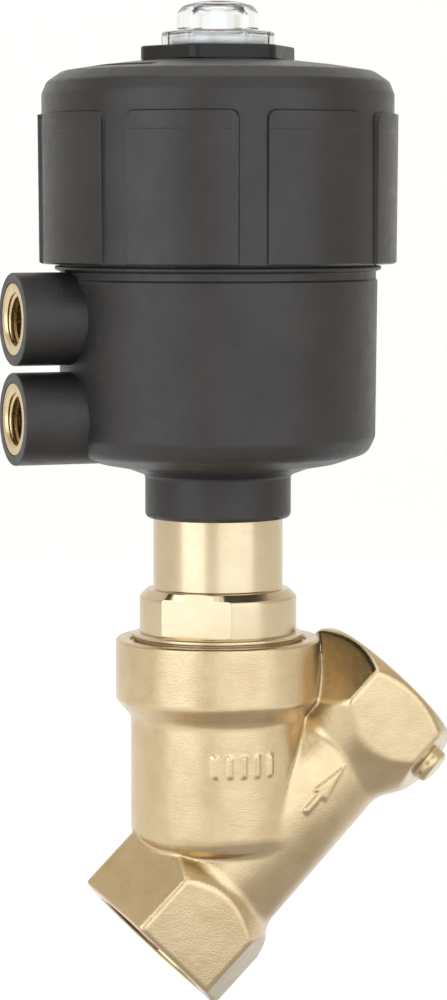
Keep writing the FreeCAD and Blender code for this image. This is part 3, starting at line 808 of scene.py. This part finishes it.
def actuator_cover():
    levels = [COVER_BOTTOM + 0.5, COVER_BOTTOM + 1.5, 158, 165, 172, 178, 182]
    levels += [PANEL_TOP - 4.6 + d for d in (-0.3, -0.12, 0, 0.12, 0.3)]
    levels += [PANEL_TOP - d for d in (3.2, 2.2, 1.75, 1.3, 0.9, 0.6, 0.35, 0.28, 0.21, 0.14, 0.07, 0)]
    inner = 38.7
    outline = [(inner, COVER_BOTTOM), (COVER_RADIUS - 0.3, COVER_BOTTOM), (COVER_RADIUS, COVER_BOTTOM + 0.3)]
    outline += [(COVER_RADIUS, z) for z in levels]
    outline += [
        (COVER_RADIUS, 193.4, 2.5), (42.2, 196.4, 2), (38.4, 199, 3), (29.5, 200.4, 8), (18, 201.7, 1),
        (13.1, 201.7), (13.1, 191), (17, 191, 1), (17, 197), (34.5, 196, 4), (36, 190, 1), (36, 169.5),
        (inner, 168.5),
    ]

    def panels(angle, r, z):
        on_wall = r > COVER_RADIUS - 0.35 and z <= PANEL_TOP + 0.01
        return r + panel_rise(angle, z) if on_wall else r

    body = turned("cover_shell", outline, cover_angles(), shape=panels, step=8.0)
    mark_outline = [(31, 199.5), (34.6, 198.9), (34.6, 202), (31, 202)]
    mark = sector("mark", mark_outline, math.radians(180 - 4), math.radians(180 + 46))
    cut(body, mark)
    return finish_piece(body, "actuator", "black_cover_plastic", "black_cover_plastic",
                        "actuator_cover", sharp=30)


def sector(name, outline, start, end, steps=24):
    """Part of a turned solid, from one angle to another."""
    size = len(outline)
    points = [(r * math.cos(a), r * math.sin(a), z)
              for a in np.linspace(start, end, steps + 1) for r, z in outline]
    faces = []
    for k in range(steps):
        a, b = k * size, (k + 1) * size
        for i in range(size):
            j = (i + 1) % size
            faces.append([a + i, a + j, b + j, b + i])
    faces.append(list(range(size)))
    faces.append([steps * size + i for i in reversed(range(size))])
    return new_object(name, points, faces)


# ---------------------------------------------------------------- indicator

BUSHING_HALF_FLATS, BUSHING_CORNER, BUSHING_BASE, BUSHING_TOP = 17.25, 4.5, 201.8, 205.1
BUSHING_TURN = math.radians(-4.5)
SOCKET_FLOOR, SPIGOT_END = 197.3, 197.6


def rounded_hexagon(half, corner, turn):
    """Shape function that turns circles of radius half into hexagons with round corners."""
    centre = (half - corner) / math.cos(math.radians(30))
    tangent = math.atan2(corner * 0.5, centre + corner * math.cos(math.radians(30)))

    def shape(angle, r, z):
        if r < half - 1:
            return r
        a = abs((angle - turn + math.radians(30)) % math.radians(60) - math.radians(30))
        if a > tangent:
            return r / math.cos(math.radians(30) - a)
        arc = centre * math.cos(a) + math.sqrt(corner ** 2 - (centre * math.sin(a)) ** 2)
        return r / half * arc

    return shape


def indicator_bushing():
    half = BUSHING_HALF_FLATS
    outline = [
        (4.1, 189), (13, 189, 0.5), (13, BUSHING_BASE), (half, BUSHING_BASE), (half, BUSHING_TOP, 0.5),
        (half - 1.2, BUSHING_TOP), (10.3, BUSHING_TOP, 0.2), (9.9, BUSHING_TOP - 0.5),
        (9.9, SOCKET_FLOOR), (4.1, SOCKET_FLOOR),
        (4.1, 195.4), (6.1, 195.4), (6.1, 193), (4.1, 193),
    ]
    body = turned("crown_bushing", outline, 240, shape=rounded_hexagon(half, BUSHING_CORNER, BUSHING_TURN))
    return finish_piece(body, "actuator", "black_bushing_plastic", "black_bushing_plastic",
                        "indicator_bushing", sharp=34)


def indicator_cap():
    """Clear cap with two wrench flats on its dome and shallow notches round its flange."""
    base, half_flats, facing = BUSHING_TOP + 0.05, 7.3, math.radians(-105)

    def flats(angle, r, z):
        if 208.95 < z < 216.1 and r > half_flats:
            return min(r, half_flats / max(abs(math.cos(angle - facing)), 0.3))
        if 13.4 < r and z < 208.2:
            dip = max(0, math.cos(12 * (angle - facing)) - 0.72) / 0.28
            return r - 0.35 * dip
        return r

    outline = [
        (6.2, SPIGOT_END), (9.8, SPIGOT_END, 0.4), (9.8, base), (10.1, base), (10.1, 207.3), (12.3, 207.3),
        (12.3, base), (13.9, base, 0.3), (13.9, 208.6, 0.5), (9.0, 208.9, 0.2), (10.2, 209.5, 0.4),
        (10.2, 213.0, 2.5), (8.8, 215.0, 2.0), (5.4, 216.0, 4.0), (0, 216.2), (0, 214.7), (6.2, 214.7, 1.2),
    ]
    body = turned("clear_cap", outline, 288, shape=flats, step=6.0)
    return finish_piece(body, "indicator_cap", "clear_plastic", "clear_plastic", "indicator_cap", sharp=28)


# ---------------------------------------------------------------- main spring

def main_spring():
    """Compression spring with closed, flat-ground ends."""
    mean, wire, bottom, top = 24.0, 2.5, height("main_spring", 0), height("main_spring", 1)
    turns, per_turn, section = 5.5, 48, 16
    count = int(turns * per_turn)
    free_height = top - bottom - 2 * wire
    points, faces = [], []
    for k in range(count + 1):
        share = k / count
        a = 2 * math.pi * turns * share
        z = bottom + wire + free_height * min(max((share - 0.09) / 0.82, 0), 1)
        for j in range(section):
            b = 2 * math.pi * j / section
            r = mean + wire * math.cos(b)
            level = min(max(z + wire * math.sin(b), bottom + 0.6), top - 0.6)
            points.append((r * math.cos(a), r * math.sin(a), level))
    for k in range(count):
        a, b = k * section, (k + 1) * section
        for j in range(section):
            n = (j + 1) % section
            faces.append([a + j, a + n, b + n, b + j])
    faces.append(list(range(section)))
    faces.append([count * section + j for j in reversed(range(section))])
    body = new_object("closing_spring", points, faces)
    finish_piece(body, "actuator", "spring_steel", "spring_steel", "main_spring", sharp=40)
    anchor = Vector(to_metres([(0, 0, top)])[0])
    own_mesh(body)
    return body


# ---------------------------------------------------------------- build

def carry_over():
    """Gives every CAD node that stays its slot's material."""
    slots = {part["node"]: part["material_slot"] for part in frame["record"]["subparts"]}
    for name, node in frame["nodes"].items():
        for place in node.material_slots:
            place.material = MATERIALS[slots[name]]


# name, azimuth and elevation in degrees, distance, width and height in metres, power in watts
LIGHTS = [
    ("left_box", -62, 8, 1.2, 1.0, 1.6, 10.5),
    ("right_box", 15, 8, 1.2, 1.55, 1.6, 11.5),
    ("top_box", 0, 80, 1.2, 1.2, 1.2, 5),
]


def painted_shadow_pool(paper):
    """Painted shadow: a pattern from 0 under the valve's front, where the paper's colour is darkened as if in
    the valve's shade, to 1 all round it.
    """
    apart = paper.nodes.new("ShaderNodeVectorMath")
    apart.operation = "DISTANCE"
    apart.inputs[1].default_value = (AXIS_X + 0.05, -0.06, CAD_BOX[0][2] - 0.03)
    paper.links.new(paper.place, apart.inputs[0])
    return paper.spread(apart.outputs["Value"], 0.0, 1.0, 0.09, 0.18)


def studio():
    """Pale floor that curves up behind the valve, with a painted shadow pool under it, two tall soft boxes
    and one overhead.
    """
    low = CAD_BOX[0]
    floor_z = low[2] - 0.03
    section = [(-4.0, 0.0), (1.6, 0.0)]
    section += [(1.6 + 0.8 * math.sin(t), 0.8 - 0.8 * math.cos(t))
                for t in np.linspace(0.1, math.pi / 2, 14)]
    section += [(2.4, 4.0)]
    points, faces = [], []
    for x in (-4.0, 4.0):
        points += [(x, y, floor_z + z) for y, z in section]
    size = len(section)
    for i in range(size - 1):
        faces.append([i, size + i, size + i + 1, i + 1])
    mesh = bpy.data.meshes.new("backdrop")
    mesh.from_pydata(points, [], faces)
    mesh.shade_smooth()
    backdrop = bpy.data.objects.new("backdrop", mesh)
    bpy.context.scene.collection.objects.link(backdrop)
    paper = Shader("paper", Roughness=0.9)
    # Paper colour goes from grey under the valve to pale all round: a painted shadow, not real shade.
    paper.tint(painted_shadow_pool(paper), (0.42, 0.41, 0.40), (0.90, 0.91, 0.93), 0.0, 1.0)
    paper.bsdf.inputs["Emission Color"].default_value = (0.98, 0.99, 1.0, 1)
    paper.bsdf.inputs["Emission Strength"].default_value = 0.15
    mesh.materials.append(paper.material)
    target = Vector(CROSSING) + Vector((0, 0, 0.09))
    for name, azimuth, elevation, distance, width, tall, power in LIGHTS:
        data = bpy.data.lights.new(name, "AREA")
        data.shape, data.size, data.size_y, data.energy = "RECTANGLE", width, tall, power
        data.color = (0.74, 0.84, 1.0)
        lamp = bpy.data.objects.new(name, data)
        bpy.context.scene.collection.objects.link(lamp)
        a, e = math.radians(azimuth), math.radians(elevation)
        away = Vector((math.sin(a) * math.cos(e), -math.cos(a) * math.cos(e), math.sin(e)))
        lamp.location = target + away * distance
        lamp.rotation_euler = away.to_track_quat("Z", "Y").to_euler()
    world = bpy.context.scene.world or bpy.data.worlds.new("world")
    bpy.context.scene.world = world
    world.use_nodes = True
    background = world.node_tree.nodes["Background"]
    background.inputs["Color"].default_value = (1.0, 0.95, 0.84, 1)
    background.inputs["Strength"].default_value = 0.82
    bpy.context.scene.view_settings.view_transform = "Standard"


carry_over()
valve_casting()
bonnet()
actuator_housing()
for insert_node, insert_level in PORTS.items():
    port_insert(insert_node, insert_level)
actuator_cover()
indicator_bushing()
indicator_cap()
main_spring()
studio()
